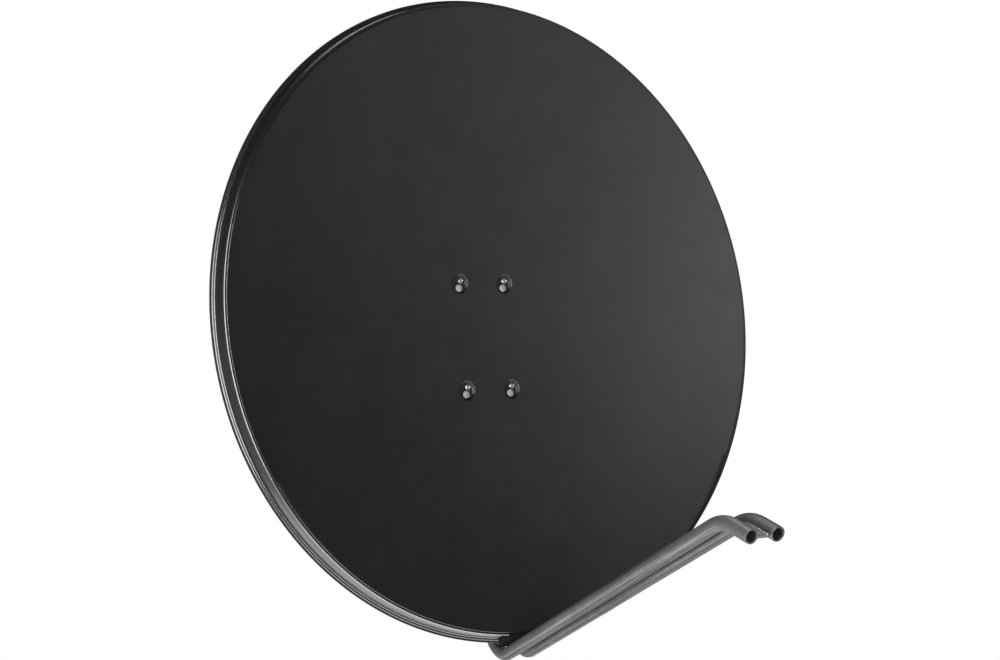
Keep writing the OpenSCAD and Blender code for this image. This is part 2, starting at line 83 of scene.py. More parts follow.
BOLT_SPAN = (72 * MM, 154 * MM)
POCKET_SHIFT = (3 * MM, 6 * MM)
RIVET_SHIFT = (4.6 * MM, 10.9 * MM)
POCKET_R = 13.2 * MM
POCKET_SQUEEZE = 0.87        # across over upright, where the frame's pockets are round
POCKET_SIDE = -1.6 * MM      # how far the narrowed pocket moves across, not in the frame
POCKET_Z = -BOWL_DEPTH - 1.45 * MM
STRIP_BACK = POCKET_Z - SHEET - 2 * MM

TUBE_R = 9 * MM
BORE_R = 7 * MM
TUBE_Z = POCKET_Z - SHEET - 0.5 * MM - TUBE_R
WEB_BACK = TUBE_Z - TUBE_R - 6 * MM
NOTCH_HALF = 36 * MM

MOUNTS = {m["name"]: m for m in frame["record"]["mounts"]}
TILT = next(j for j in frame["joints"] if j["name"] == "elevation_tilt")
LEAN = OFFSET + math.asin(MOUNTS["feed_tube_right"]["axis"][2])
TUBE_X = MOUNTS["feed_tube_right"]["pos_m"][0]
PIVOT_IN_DISH = Vector((0, DEEP_Y - 50 * MM, WEB_BACK - 60 * MM))
TO_ROW = (Matrix.Translation(TILT["pos_m"]) @ Matrix.Rotation(math.pi / 2 - LEAN, 4, "X")
          @ Matrix.Translation(-PIVOT_IN_DISH))
RIM_CENTRE = TO_ROW @ Vector((0, 0, 0))

BOLTS = [(sx * BOLT_SPAN[0] / 2, DEEP_Y + sy * BOLT_SPAN[1] / 2) for sx in (-1, 1) for sy in (-1, 1)]

SKIRT_SHADE = 0.25           # the edge value where the paint is darkest: painted shade on the skirt
EVEN_SHADE = 0.3             # the edge value from which its gloss grows


# ---- Node helpers for materials ----

class Nodes:
    """A short way to write a material's node tree."""

    def __init__(self, name):
        self.material = bpy.data.materials.new(name)
        self.material.use_nodes = True
        self.tree = self.material.node_tree
        self.shader = self.tree.nodes["Principled BSDF"]

    def add(self, kind, **values):
        node = self.tree.nodes.new(kind)
        for key, value in values.items():
            if key in node.inputs:
                node.inputs[key].default_value = value
            else:
                setattr(node, key, value)
        return node

    def link(self, source, target):
        self.tree.links.new(source, target)

    def position(self, scale=(1, 1, 1)):
        """Object coordinates, stretched by scale."""
        coords = self.add("ShaderNodeTexCoord")
        mapping = self.add("ShaderNodeMapping", Scale=scale)
        self.link(coords.outputs["Object"], mapping.inputs["Vector"])
        return mapping.outputs["Vector"]

    def attribute(self, name, scale):
        source = self.add("ShaderNodeAttribute", attribute_name=name)
        mapping = self.add("ShaderNodeMapping", Scale=scale)
        self.link(source.outputs["Vector"], mapping.inputs["Vector"])
        return mapping.outputs["Vector"]

    def noise(self, vector, scale, detail=4.0, roughness=0.55):
        node = self.add("ShaderNodeTexNoise", Scale=scale, Detail=detail, Roughness=roughness)
        self.link(vector, node.inputs["Vector"])
        return node.outputs["Fac"]

    def ramp(self, value, stops):
        """stops: (position, grey or colour) pairs."""
        node = self.add("ShaderNodeValToRGB")
        self.link(value, node.inputs["Fac"])
        elements = node.color_ramp.elements
        while len(elements) < len(stops):
            elements.new(0.5)
        for element, (place, colour) in zip(elements, stops):
            element.position = place
            grey = not hasattr(colour, "__len__")
            element.color = (colour, colour, colour, 1) if grey else (*colour, 1)
        return node.outputs["Color"]

    def multiply(self, a, b, share=1.0):
        node = self.add("ShaderNodeMix", data_type="RGBA", blend_type="MULTIPLY")
        node.inputs[0].default_value = share
        self.link(a, node.inputs[6])
        self.link(b, node.inputs[7])
        return node.outputs[2]

    def bump(self, height, strength, distance, normal=None):
        node = self.add("ShaderNodeBump", Strength=strength, Distance=distance)
        self.link(height, node.inputs["Height"])
        if normal:
            self.link(normal, node.inputs["Normal"])
        return node.outputs["Normal"]

    def finish(self, **sockets):
        for key, value in sockets.items():
            target = self.shader.inputs[key.replace("_", " ")]
            if hasattr(value, "links"):
                self.link(value, target)
            else:
                target.default_value = value
        return self.material


def powder_coat():
    """Satin anthracite powder coat: fine orange peel, faint mottling and specks.
    The edge attribute darkens its colour, most at SKIRT_SHADE, where it is painted shade on the skirt, and makes
    it glossier from EVEN_SHADE to 1."""
    n = Nodes("powder_coat")
    here = n.position()
    rim = n.add("ShaderNodeAttribute", attribute_name="edge").outputs["Fac"]
    dark, light = (0.0145, 0.0152, 0.0163), (0.0185, 0.0191, 0.0202)
    mottling = n.ramp(n.noise(here, 9, 5), [(0.3, dark), (0.7, light)])
    specks = n.ramp(n.noise(here, 1400, 2, 0.7), [(0.35, 0.85), (0.62, 1.0), (0.78, 1.2)])
    # the edge ramp paints shade into the colour, darkest on the rim's skirt
    colour = n.multiply(n.multiply(mottling, specks), n.ramp(rim, [(0, 1.0), (SKIRT_SHADE, 0.42), (1, 0.6)]))
    peel = n.bump(n.noise(here, 420, 3), 0.12, 0.25 * MM)
    normal = n.bump(n.noise(here, 1500, 2), 0.08, 0.08 * MM, peel)
    roughness = n.multiply(n.ramp(n.noise(here, 35, 4), [(0.3, 0.40), (0.7, 0.46)]),
                           n.ramp(rim, [(EVEN_SHADE, 1.0), (1, 0.62)]))
    return n.finish(Base_Color=colour, Roughness=roughness, Normal=normal, Specular_IOR_Level=0.5,
                    Coat_Weight=n.ramp(rim, [(EVEN_SHADE, 0.0), (1, 1.0)]), Coat_Roughness=0.25,
                    Coat_IOR=1.6)


def shade_black_paint():
    """Dull and nearly black: painted shade on the notch apron, which lies in the shade of the tubes."""
    n = Nodes("shade_black_paint")
    here = n.position()
    # a near-black tone: painted shade
    tone = n.ramp(n.noise(here, 60, 5), [(0.3, (0.0045, 0.0045, 0.005)), (0.7, (0.0075, 0.0075, 0.008))])
    normal = n.bump(n.noise(here, 600, 3), 0.2, 0.1 * MM)
    return n.finish(Base_Color=tone, Roughness=0.85, Normal=normal, Specular_IOR_Level=0.15)


def galvanised_tube():
    """Drawn steel tube: lengthwise streaks and faint blotches of zinc."""
    n = Nodes("galvanised_tube")
    along = n.attribute("sweep", (1, 1, 1.2))
    fine = n.attribute("sweep", (1, 1, 0.35))
    streaks = n.noise(along, 2.6, 8, 0.66)
    lines = n.noise(fine, 26, 5, 0.7)
    blotches = n.noise(n.position(), 60, 6, 0.6)
    grit = n.noise(n.position(), 1100, 4, 0.7)
    dark, middle, light = (0.13, 0.13, 0.127), (0.30, 0.30, 0.295), (0.58, 0.58, 0.57)
    base = n.ramp(streaks, [(0.34, dark), (0.50, middle), (0.68, light)])
    colour = n.multiply(base, n.ramp(lines, [(0.3, 0.55), (0.6, 1.0), (0.75, 1.3)]))
    colour = n.multiply(colour, n.ramp(blotches, [(0.3, 0.80), (0.7, 1.08)]))
    colour = n.multiply(colour, n.ramp(grit, [(0.3, 0.6), (0.6, 1.0), (0.75, 1.3)]))
    roughness = n.ramp(streaks, [(0.3, 0.52), (0.7, 0.40)])
    normal = n.bump(lines, 0.35, 0.2 * MM, n.bump(grit, 0.3, 0.1 * MM))
    return n.finish(Base_Color=colour, Metallic=0.8, Roughness=roughness, Normal=normal)


def galvanised_plate():
    """Hot-dip zinc on pressed plate: soft spangle, cloudy tone, dull sheen."""
    n = Nodes("galvanised_plate")
    here = n.position()
    spangle = n.add("ShaderNodeTexVoronoi", Scale=130.0, Randomness=1.0)
    n.link(here, spangle.inputs["Vector"])
    cells = n.ramp(spangle.outputs["Color"], [(0.1, 0.78), (0.9, 1.1)])
    clouds = n.ramp(n.noise(here, 22, 6), [(0.3, (0.33, 0.335, 0.34)), (0.7, (0.47, 0.475, 0.48))])
    colour = n.multiply(clouds, cells, 0.7)
    roughness = n.ramp(spangle.outputs["Color"], [(0.1, 0.38), (0.9, 0.52)])
    normal = n.bump(n.noise(here, 260, 5), 0.22, 0.2 * MM)
    return n.finish(Base_Color=colour, Metallic=0.9, Roughness=roughness, Normal=normal)


def zinc_plate():
    """Bright zinc on fasteners: slightly warm, lightly handled."""
    n = Nodes("zinc_plate")
    here = n.position()
    tone = n.ramp(n.noise(here, 180, 5), [(0.3, (0.50, 0.49, 0.46)), (0.7, (0.68, 0.67, 0.64))])
    roughness = n.ramp(n.noise(here, 420, 4), [(0.3, 0.26), (0.7, 0.42)])
    normal = n.bump(n.noise(here, 900, 4), 0.2, 0.06 * MM)
    return n.finish(Base_Color=tone, Metallic=0.95, Roughness=roughness, Normal=normal)


def dull_zinc():
    """Dull passivated zinc on the fixing bolts."""
    n = Nodes("dull_zinc")
    here = n.position()
    tone = n.ramp(n.noise(here, 420, 6), [(0.3, (0.32, 0.33, 0.33)), (0.7, (0.52, 0.53, 0.53))])
    normal = n.bump(n.noise(here, 700, 5), 0.45, 0.12 * MM)
    return n.finish(Base_Color=tone, Metallic=0.2, Roughness=0.6, Normal=normal)


def weld_metal():
    """Weld bead under zinc: mottled from dull to bright."""
    n = Nodes("weld_metal")
    here = n.position()
    tone = n.ramp(n.noise(here, 500, 5), [(0.3, (0.30, 0.29, 0.27)), (0.7, (0.70, 0.69, 0.66))])
    normal = n.bump(n.noise(here, 800, 5), 0.5, 0.2 * MM)
    return n.finish(Base_Color=tone, Metallic=0.9, Roughness=0.33, Normal=normal)


def natural_nylon():
    """Natural nylon washers: milky and slightly glossy."""
    n = Nodes("natural_nylon")
    here = n.position()
    tone = n.ramp(n.noise(here, 300, 3), [(0.3, (0.62, 0.60, 0.53)), (0.7, (0.72, 0.70, 0.63))])
    normal = n.bump(n.noise(here, 900, 3), 0.15, 0.05 * MM)
    return n.finish(Base_Color=tone, Roughness=0.42, Normal=normal, Subsurface_Weight=0.15)


PAINT = powder_coat()
SHADE_BLACK = shade_black_paint()
TUBE = galvanised_tube()
PLATE = galvanised_plate()
ZINC = zinc_plate()
DULL = dull_zinc()
WELD = weld_metal()
NYLON = natural_nylon()


# ---- Mesh helpers ----

class Shape:
    """Vertices and faces that grow as closed shells are added."""

    def __init__(self):
        self.verts = []
        self.faces = []

    def add(self, verts, faces, place=Matrix.Identity(4)):
        start = len(self.verts)
        self.verts += [place @ Vector(v) for v in verts]
        self.faces += [[start + i for i in face] for face in faces]
        return self

    def build(self, name, body, material, slot, replaces=(), sharp=35, vectors=None, edges=None):
        mesh = bpy.data.meshes.new(name)
        mesh.from_pydata([tuple(v) for v in self.verts], [], self.faces)
        work = bmesh.new()
        work.from_mesh(mesh)
        bmesh.ops.recalc_face_normals(work, faces=work.faces)
        work.to_mesh(mesh)
        work.free()
        mesh.shade_smooth()
        mesh.set_sharp_from_angle(angle=math.radians(sharp))
        if vectors is not None:
            attribute = mesh.attributes.new("sweep", "FLOAT_VECTOR", "POINT")
            attribute.data.foreach_set("vector", np.asarray(vectors, np.float32).ravel())
        if edges is not None:
            attribute = mesh.attributes.new("edge", "FLOAT", "POINT")
            attribute.data.foreach_set("value", np.asarray(edges, np.float32))
        mesh.materials.append(material)
        piece = bpy.data.objects.new(name, mesh)
        bpy.context.scene.collection.objects.link(piece)
        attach(piece, body)
        if replaces:
            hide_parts(*replaces)
        return piece


def arc(centre, radius, start, end, steps):
    """Points on an arc, angles in degrees, both ends included."""
    angles = np.radians(np.linspace(start, end, steps))
    return [(centre[0] + radius * math.cos(a), centre[1] + radius * math.sin(a)) for a in angles]


def rounded(corners, segments=6):
    """A path through corners (a, b, radius), each corner rounded to its radius."""
    points = []
    for i, (a, b, radius) in enumerate(corners):
        here = np.array([a, b])
        if radius == 0 or i in (0, len(corners) - 1):
            points.append(here)
            continue
        before = np.array(corners[i - 1][:2]) - here
        after = np.array(corners[i + 1][:2]) - here
        room = 0.48 * min(np.linalg.norm(before), np.linalg.norm(after))
        before, after = before / np.linalg.norm(before), after / np.linalg.norm(after)
        half = math.acos(np.clip(before @ after, -1, 1)) / 2
        reach = min(radius / math.tan(half), room)
        radius = reach * math.tan(half)
        centre = here + (before + after) / np.linalg.norm(before + after) * radius / math.sin(half)
        start, end = here + before * reach - centre, here + after * reach - centre
        for k in range(segments + 1):
            way = start * (1 - k / segments) + end * k / segments
            points.append(centre + way / np.linalg.norm(way) * radius)
    return points


def ring_faces(rows, steps, closed=False):
    """Faces between rows of points that are rings; closed also joins the last row to the first."""
    return [(i * steps + k, i * steps + (k + 1) % steps,
             (i + 1) % rows * steps + (k + 1) % steps, (i + 1) % rows * steps + k)
            for i in range(rows if closed else rows - 1) for k in range(steps)]


def lathe(profile, steps=48):
    """A closed shell from a profile of (radius, height) that starts and ends on the axis, or is a loop."""
    on_axis = profile[0][0] == 0 and profile[-1][0] == 0
    ringed = profile[1:-1] if on_axis else profile
    verts = [(r * math.cos(2 * math.pi * k / steps), r * math.sin(2 * math.pi * k / steps), z)
             for r, z in ringed for k in range(steps)]
    rows = len(ringed)
    faces = ring_faces(rows, steps, closed=not on_axis)
    if on_axis:
        verts += [(0, 0, profile[0][1]), (0, 0, profile[-1][1])]
        last = (rows - 1) * steps
        for k in range(steps):
            n = (k + 1) % steps
            faces.append((rows * steps, n, k))
            faces.append((rows * steps + 1, last + k, last + n))
    return verts, faces


def thread(radius, start, end, pitch, steps=24, rings_per_turn=6):
    """A closed threaded rod along z from start to end, with a chamfered tip."""
    depth = 0.58 * pitch
    count = max(2, round((end - start) / pitch * rings_per_turn))
    verts = []
    for i in range(count + 1):
        z = start + (end - start) * i / count
        for k in range(steps):
            phase = (z / pitch - k / steps) % 1
            height = min(1.0, 2.4 * min(phase, 1 - phase))
            r = radius - depth * (1 - height)
            r = min(r, radius - depth + (end - z))
            angle = 2 * math.pi * k / steps
            verts.append((r * math.cos(angle), r * math.sin(angle), z))
    faces = ring_faces(count + 1, steps)
    faces.append(tuple(range(steps)))
    faces.append(tuple(count * steps + k for k in range(steps)))
    return verts, faces


def hex_nut(across, height, bore, steps=72):
    """A chamfered hexagon nut from z = 0 to height, with a chamfered bore."""
    flat = across / 2
    ring = flat * 0.94
    lead = 0.5 * MM
    rows = []
    for k in range(steps):
        angle = 2 * math.pi * k / steps
        side = (angle + math.pi / 6) % (math.pi / 3) - math.pi / 6
        corner = flat / math.cos(side)
        drop = (corner - ring) * math.tan(math.radians(30))
        rows.append([(bore, lead), (bore + lead, 0), (ring, 0), (corner, drop),
                     (corner, height - drop), (ring, height), (bore + lead, height), (bore, height - lead)])
    size = len(rows[0])
    verts = [(r * math.cos(2 * math.pi * k / steps), r * math.sin(2 * math.pi * k / steps), z)
             for k, row in enumerate(rows) for r, z in row]
    faces = []
    for k in range(steps):
        n = (k + 1) % steps
        for i in range(size):
            j = (i + 1) % size
            faces.append((k * size + i, n * size + i, n * size + j, k * size + j))
    return verts, faces


def hex_head(across, height, steps=72):
    """A hexagon bolt head from z = 0 down to -height, chamfered on its outer face."""
    flat = across / 2
    ring = flat * 0.94
    verts, faces = [], []
    for k in range(steps):
        angle = 2 * math.pi * k / steps
        side = (angle + math.pi / 6) % (math.pi / 3) - math.pi / 6
        corner = flat / math.cos(side)
        drop = (corner - ring) * math.tan(math.radians(30))
        for r, z in [(flat * 0.95, 0), (corner, -0.3 * MM), (corner, -height + drop), (ring, -height)]:
            verts.append((r * math.cos(angle), r * math.sin(angle), z))
    for k in range(steps):
        n = (k + 1) % steps
        for i in range(3):
            faces.append((k * 4 + i, n * 4 + i, n * 4 + i + 1, k * 4 + i + 1))
    faces.append(tuple(k * 4 for k in range(steps)))
    faces.append(tuple(k * 4 + 3 for k in range(steps)))
    return verts, faces


def dome_head(diameter, height, edge=0.5 * MM):
    """A domed head with a small upright edge, its flat face at z = 0 and its crown at -height."""
    half = diameter / 2
    rise = height - edge
    dome_r = (half ** 2 + rise ** 2) / (2 * rise)
    span = math.degrees(math.asin(half / dome_r))
    crown = arc((0, -height + dome_r), dome_r, 270 + span, 270, 14)
    crown[-1] = (0, -height)
    return lathe([(0, 0), (half - 0.25 * MM, 0), (half, -0.2 * MM)] + crown)


def rounded_block(half, depth, bevel):
    """A square neck along z from 0 to depth, with bevelled upright edges."""
    c = half - bevel
    outline = [(c, -half), (half, -c), (half, c), (c, half),
               (-c, half), (-half, c), (-half, -c), (-c, -half)]
    count = len(outline)
    verts = [(x, y, 0) for x, y in outline] + [(x, y, depth) for x, y in outline]
    faces = [(i, (i + 1) % count, count + (i + 1) % count, count + i) for i in range(count)]
    faces += [tuple(range(count)), tuple(range(count, 2 * count))]
    return verts, faces


# ---- Reflector ----

COLUMNS = 560                # columns around the rim outside the notch
NOTCH_COLUMNS = 16
NOTCH_TRIM = 3.2 * MM        # how far up the lip the notch is cut
BOWL_EDGE = -5 * MM          # where the bowl hands over to the rim section, from the lip centre line
BOWL_MIDDLE = DEEP_Y + POCKET_SHIFT[1]
GLOSS_AND_SHADE_SIDE = (-0.6, -0.8)    # the side of the rim that is glossy and carries painted shade on its skirt, across and up
SMOOTH_BELOW = 50            # degrees: sheet bends under this stay smooth
APRON_NARROW = NOTCH_HALF - 9 * MM
APRON_WIDE = NOTCH_HALF + 10 * MM
APRON_TAPER = 6.3 * MM       # how far above its foot the apron reaches its full width


def bowl_height(u, v):
    """Height of the paraboloid over the rim plane."""
    h = v + HALF_H
    s, c = math.sin(OFFSET), math.cos(OFFSET)
    qb = 2 * h * s * c + 4 * FOCAL * c
    qc = u * u + h * h * c * c - 4 * FOCAL * h * s
    return (qb - np.sqrt(qb * qb - 4 * s * s * qc)) / (2 * s * s)


def rim_section():
    """The rim from the bowl's front face over the lip, skirt and rolled flange to its back face.
    Points are (distance outside the lip centre line, height), from front to back."""
    lip = [(-4.95, -2.0, 0), (-4.2, -0.25, 0.2), (-3.3, -1.0, 0.1), (-2.75, -0.35, 0.3),
           (-1.0, 0, 0.4), (0.0, -1.0, 0.3), (0.35, -3.4, 1.0)]
    flange = [(4.5, -23.7, 0.5), (5.2, -24.4, 0.3), (7.4, -24.3, 0.2), (7.95, -24.85, 0.2),
              (8.3, -25.25, 0.3), (11.1, -25.0, 0.2)]
    under = [(11.2, -26.35, 0.2), (8.6, -26.35, 0.8), (7.9, -25.8, 0.4), (3.7, -25.8, 2.5)]
    inside = [(-0.7, -3.4, 1.0), (-1.0, -1.7, 0.6), (-2.1, -1.7, 0.5), (-3.1, -3.1, 0.4), (-4.95, -3.3, 0)]
    return [(a * MM, b * MM) for a, b in rounded(lip + flange + under + inside)]


def reflector():
    """Pressed bowl with four pockets, rolled rim and the notch that lets the feed tubes past."""
    notch = math.asin(NOTCH_HALF / HALF_W)
    down = -math.pi / 2
    around = np.linspace(down + notch, down + 2 * math.pi - notch, COLUMNS + 1)
    under = np.linspace(down - notch, down + notch, NOTCH_COLUMNS + 1)[1:-1]
    phi = np.concatenate([around, under])
    count = len(phi)
    lip = np.stack([HALF_W * np.cos(phi), HALF_H * np.sin(phi)], 1)
    out = np.stack([HALF_H * np.cos(phi), HALF_W * np.sin(phi)], 1)
    out /= np.linalg.norm(out, axis=1)[:, None]

    steps = np.concatenate([
        np.linspace(0.012, 0.135, 9), np.linspace(0.1375, 0.255, 48),
        0.26 + (1 - 0.26) * np.linspace(0, 1, 58)[1:] ** 1.15])
    middle = np.array([0, BOWL_MIDDLE])
    edge = lip + out * BOWL_EDGE
    cut = -HALF_H + NOTCH_TRIM
    low = slice(COLUMNS + 1, None)
    edge[low] = np.stack([lip[low, 0], np.full(NOTCH_COLUMNS - 1, cut)], 1)
    grid = middle + steps[:, None, None] * (edge - middle)[None]
    flat = grid.reshape(-1, 2)
    height, shift, walls = press_pockets(flat)
    flat = flat + shift
    slope = math.cos(OFFSET)
    front = np.column_stack([flat, height])
    thickness = SHEET / (slope + (1 - slope) * 0.5)
    back = front - [0, 0, thickness]

    section = np.array(rim_section())
    rim_uv = lip[:COLUMNS + 1, None, :] + out[:COLUMNS + 1, None, :] * section[None, :, :1]
    rim_w = np.broadcast_to(section[None, :, 1:], rim_uv.shape[:2] + (1,))
    rim = np.concatenate([rim_uv, rim_w], 2).reshape(-1, 3)
    points = len(section)

    centre_z = bowl_height(0.0, BOWL_MIDDLE)
    hubs = [[0, BOWL_MIDDLE, centre_z], [0, BOWL_MIDDLE, centre_z - thickness]]
    verts = np.vstack([front, back, rim, hubs])
    rings = len(steps)
    back0 = rings * count
    rim0 = 2 * rings * count
    tip = rim0 + len(rim)
    faces = []
    for j in range(count):
        n = (j + 1) % count
        faces.append((tip, n, j))
        faces.append((tip + 1, back0 + j, back0 + n))
        for i in range(rings - 1):
            a, b = i * count, (i + 1) * count
            faces.append((a + j, a + n, b + n, b + j))
            faces.append((back0 + b + j, back0 + b + n, back0 + a + n, back0 + a + j))
        last = (rings - 1) * count
        if j < COLUMNS:
            this = [last + j] + [rim0 + j * points + k for k in range(points)] + [back0 + last + j]
            after = [last + n] + [rim0 + n * points + k for k in range(points)] + [back0 + last + n]
            for k in range(points + 1):
                faces.append((this[k], after[k], after[k + 1], this[k + 1]))
        else:
            faces.append((last + j, last + n, back0 + last + n, back0 + last + j))
    for j in (0, COLUMNS):
        last = (rings - 1) * count
        faces.append([last + j] + [rim0 + j * points + k for k in range(points)] + [back0 + last + j])
    shape = Shape().add(verts.tolist(), faces, TO_ROW)
    edges = np.zeros(len(verts))
    edges[:len(walls)] = walls
    edges[rim0:tip] = rim_gloss_and_shade(section, phi[:COLUMNS + 1]).ravel()
    return shape.build("reflector_shell", "dish", PAINT, "reflector_paint", ["reflector"],
                       sharp=SMOOTH_BELOW, edges=edges)


def rim_gloss_and_shade(section, phi):
    """The paint's edge value round the rim, column by column: glossy on the lip and on the inner half of
    the flange, painted shade on the skirt, both strongest on the lower left and fading towards the upper right."""
    outward, height = section[:, 0] / MM, section[:, 1] / MM
    flange = np.interp(height, [-22, -18], [1, 0]) * np.interp(outward, [8.3, 8.6], [1, 0])
    lip = np.interp(height, [-3, -2], [0, 1])
    # painted shade on the skirt
    skirt = SKIRT_SHADE * np.interp(height, [-22, -20, -5, -3], [0, 1, 1, 0])
    across, up = GLOSS_AND_SHADE_SIDE
    # the painted shade and the gloss are full on the lower left and fade towards the upper right
    shade_and_gloss_share = np.interp(across * np.cos(phi) + up * np.sin(phi), [-0.5, 0.2], [0.2, 1])
    return shade_and_gloss_share[:, None] * np.maximum(flange + lip, skirt)[None]


def notch_apron():
    """The sheet that folds over at the notch and runs down to the inside of the tubes' lower bends."""
    edge = (-HALF_H + NOTCH_TRIM, bowl_height(0.0, -HALF_H + NOTCH_TRIM))
    turn = (math.pi / 2 + ARM_RISE) / 2
    toe = (ARM_CORNER + CORNER_R * math.tan(turn) - CORNER_R + TUBE_R + 0.7 * MM, TUBE_Z + CORNER_R)
    front = [(1.5, -0.35, 0), (0.1, 0.15, 0.6), (-1.3, 0.1, 0.8), (-3.2, -1.6, 1.6)]
    front = [(edge[0] + a * MM, edge[1] + b * MM, r * MM) for a, b, r in front] + [(*toe, 0)]
    path = rounded(front)
    back = []
    for i, here in enumerate(path):
        along = path[min(i + 1, len(path) - 1)] - path[max(i - 1, 0)]
        along = along / np.linalg.norm(along)
        back.append(here + np.array([-along[1], along[0]]) * SHEET)
    outline = list(path) + back[::-1]
    count = len(outline)
    half = np.interp([y for y, _ in outline], [toe[0], toe[0] + APRON_TAPER], [APRON_NARROW, APRON_WIDE])
    verts = [(side * w, y, z) for side in (-1, 1) for w, (y, z) in zip(half, outline)]
    faces = [(i, (i + 1) % count, count + (i + 1) % count, count + i) for i in range(count)]
    faces += [tuple(range(count)), tuple(range(count, 2 * count))]
    shape = Shape().add(verts, faces, TO_ROW)
    # the apron is painted nearly black: painted shade in the notch
    shape.build("notch_apron", "dish", SHADE_BLACK, "reflector_paint", sharp=SMOOTH_BELOW)


def press_pockets(flat):
    """Height of the bowl with its pockets pressed in, a shift that draws points onto the pockets' walls,
    and how far each point is on a wall."""
    foot, brow, reach = POCKET_R - 1.2 * MM, POCKET_R + 1.0 * MM, 26 * MM
    squeeze = np.array([POCKET_SQUEEZE, 1])
    centres = [np.array([x + POCKET_SHIFT[0] + POCKET_SIDE, y + POCKET_SHIFT[1]]) for x, y in BOLTS]
    shift = np.zeros_like(flat)
    for centre in centres:
        offset = (flat - centre) / squeeze
        rho = np.linalg.norm(offset, axis=1)
        drawn = np.interp(rho, [0, 9.5 * MM, 16.5 * MM, reach], [0, foot, brow, reach])
        scale = np.where((rho < reach) & (rho > 1e-6), drawn / np.maximum(rho, 1e-6), 1.0)
        shift += offset * squeeze * (scale - 1)[:, None]
    moved = flat + shift
    height = bowl_height(moved[:, 0], moved[:, 1])
    walls = np.zeros(len(flat))
    for centre in centres:
        rho = np.linalg.norm((moved - centre) / squeeze, axis=1)
        s = np.clip((rho - foot) / (brow - foot), 0, 1)
        s = s * s * (3 - 2 * s)
        height = np.where(rho < brow, POCKET_Z + (height - POCKET_Z) * s, height)
        band = [foot - 0.4 * MM, foot, brow, brow + 0.4 * MM]
        walls = np.maximum(walls, np.interp(rho, band, [0, 1, 1, 0]))
    return height, shift, walls


# ---- Feed arm ----

ARM_TOP = DEEP_Y + BOLT_SPAN[1] / 2 + 12 * MM
ARM_CORNER = -HALF_H - 43.4 * MM
ARM_LEN = 604 * MM
ARM_RISE = math.radians(18.5)
ELBOW_LEN = 51 * MM
CORNER_R = 40 * MM
ELBOW_R = 60 * MM


def arm_path():
    """Points and headings along a feed tube's centre line in the (y, z) plane of the dish frame."""
    place = np.array([ARM_TOP, TUBE_Z])
    heading = math.pi
    corner_turn = math.pi / 2 - ARM_RISE - math.pi
    elbow_turn = OFFSET + ARM_RISE
    corner_t = CORNER_R * math.tan(-corner_turn / 2)
    elbow_t = ELBOW_R * math.tan(elbow_turn / 2)
    path = [(place.copy(), heading)]

    def straight(length, steps):
        nonlocal place
        step = np.array([math.cos(heading), math.sin(heading)]) * length / steps
        for _ in range(steps):
            place = place + step
            path.append((place.copy(), heading))

    def bend(radius, turn, steps):
        nonlocal place, heading
        for _ in range(steps):
            chord = 2 * radius * math.sin(abs(turn) / steps / 2)
            middle = heading + turn / steps / 2
            place = place + chord * np.array([math.cos(middle), math.sin(middle)])
            heading += turn / steps
            path.append((place.copy(), heading))

    straight(ARM_TOP - ARM_CORNER - corner_t, 20)
    bend(CORNER_R, corner_turn, 28)
    straight(ARM_LEN - corner_t - elbow_t, 24)
    bend(ELBOW_R, elbow_turn, 16)
    straight(ELBOW_LEN - elbow_t, 6)
    return path


def feed_tube(x, name, node):
    """One bent tube with its bore, cut square at both ends, with the edges of the cuts broken."""
    path = arm_path()
    steps = 56
    lead = 0.35 * MM
    verts, vectors = [], []

    def ring(index, radius, along):
        centre, heading = path[index]
        side = np.array([-math.sin(heading), math.cos(heading)])
        forward = np.array([math.cos(heading), math.sin(heading)])
        travelled = index_length[index] + along
        for k in range(steps):
            angle = 2 * math.pi * k / steps
            yz = centre + forward * along + side * radius * math.sin(angle)
            verts.append((x + radius * math.cos(angle), yz[0], yz[1]))
            vectors.append((math.cos(angle), math.sin(angle) + x * 100, travelled))

    index_length = [0.0]
    for (a, _), (b, _) in zip(path, path[1:]):
        index_length.append(index_length[-1] + float(np.linalg.norm(b - a)))
    final = len(path) - 1
    loop = [(0, BORE_R + lead, 0.0), (0, TUBE_R - lead, 0.0), (0, TUBE_R, lead)]
    loop += [(i, TUBE_R, 0.0) for i in range(1, final)]
    loop += [(final, TUBE_R, -lead), (final, TUBE_R - lead, 0.0)]
    loop += [(final, BORE_R + lead, 0.0), (final, BORE_R, -lead)]
    loop += [(i, BORE_R, 0.0) for i in range(final - 1, 0, -1)]
    loop += [(0, BORE_R, lead)]
    for index, radius, along in loop:
        ring(index, radius, along)
    shape = Shape().add(verts, ring_faces(len(loop), steps, closed=True), TO_ROW)
    return shape.build(name, "dish", TUBE, "galvanised", [node], vectors=vectors)


def weld_bead(shape, start, end, radius, seed):
    """A rippled bead along a line, thinner at its ends."""
    random = np.random.default_rng(seed)
    start, end = Vector(start), Vector(end)
    along = (end - start).normalized()
    side = along.orthogonal().normalized()
    up = along.cross(side)
    length = (end - start).length
    ripple = 1.8 * MM
    rows = max(12, int(length / (0.25 * MM)))
    steps = 14
    lumps = np.interp(np.linspace(0, 1, rows + 1), np.linspace(0, 1, 9), random.uniform(0.7, 1.15, 9))
    verts = []
    for i in range(rows + 1):
        t = i / rows
        wave = 0.8 + 0.2 * abs(math.sin(math.pi * t * length / ripple))
        taper = min(1.0, math.sin(math.pi * min(max(t, 0.02), 0.98)) * 2.4)
        wobble = lumps[i] * (1 + 0.03 * random.standard_normal())
        for k in range(steps):
            angle = 2 * math.pi * k / steps
            r = radius * wave * taper * wobble
            verts.append(start + (end - start) * t + side * r * math.cos(angle) + up * r * math.sin(angle))
    faces = ring_faces(rows + 1, steps)
    faces += [tuple(range(steps)), tuple(rows * steps + k for k in range(steps))]
    shape.add(verts, faces, TO_ROW)


